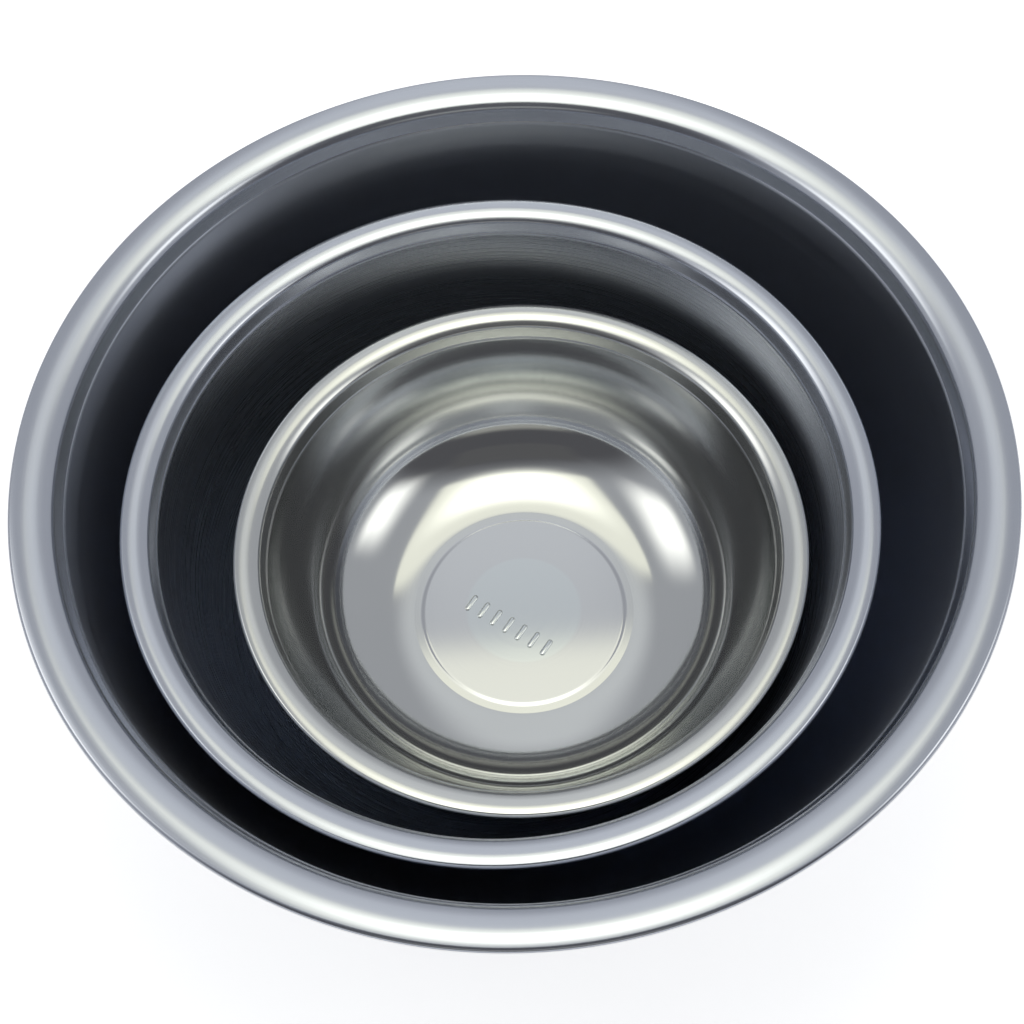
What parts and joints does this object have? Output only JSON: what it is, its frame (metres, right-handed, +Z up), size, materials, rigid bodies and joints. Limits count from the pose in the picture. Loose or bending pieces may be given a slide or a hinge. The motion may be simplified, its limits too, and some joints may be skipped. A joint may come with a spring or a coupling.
{
  "type": "nest of round bowls",
  "caption": "Nest of round pressed stainless-steel hospital bowls with wide domed, rolled rims, each standing inside the next larger one and lifting straight out.",
  "frame": {"origin": "middle of the large bowl's foot, on the surface that it stands on", "axes": "+Z up out of the mouths; -Y is the side that the nest is looked at from; +X is to the right"},
  "size_m": [0.25, 0.25, 0.1],
  "materials": {
    "satin_steel": "satin, brushed round the bowl",
    "polished_steel": "polished inside, satin rim"
  },
  "bodies": {
    "large": {"large_bowl": "satin_steel"},
    "medium": {"medium_bowl": "satin_steel"},
    "small": {"small_bowl": "polished_steel"}
  },
  "joints": [
    {"name": "medium_lift", "type": "slide", "parent": "large", "child": "medium", "axis": [0, 0, 1], "range_m": [0, 0.12]},
    {"name": "small_lift", "type": "slide", "parent": "medium", "child": "small", "axis": [0, 0, 1], "range_m": [0, 0.12]}
  ]
}
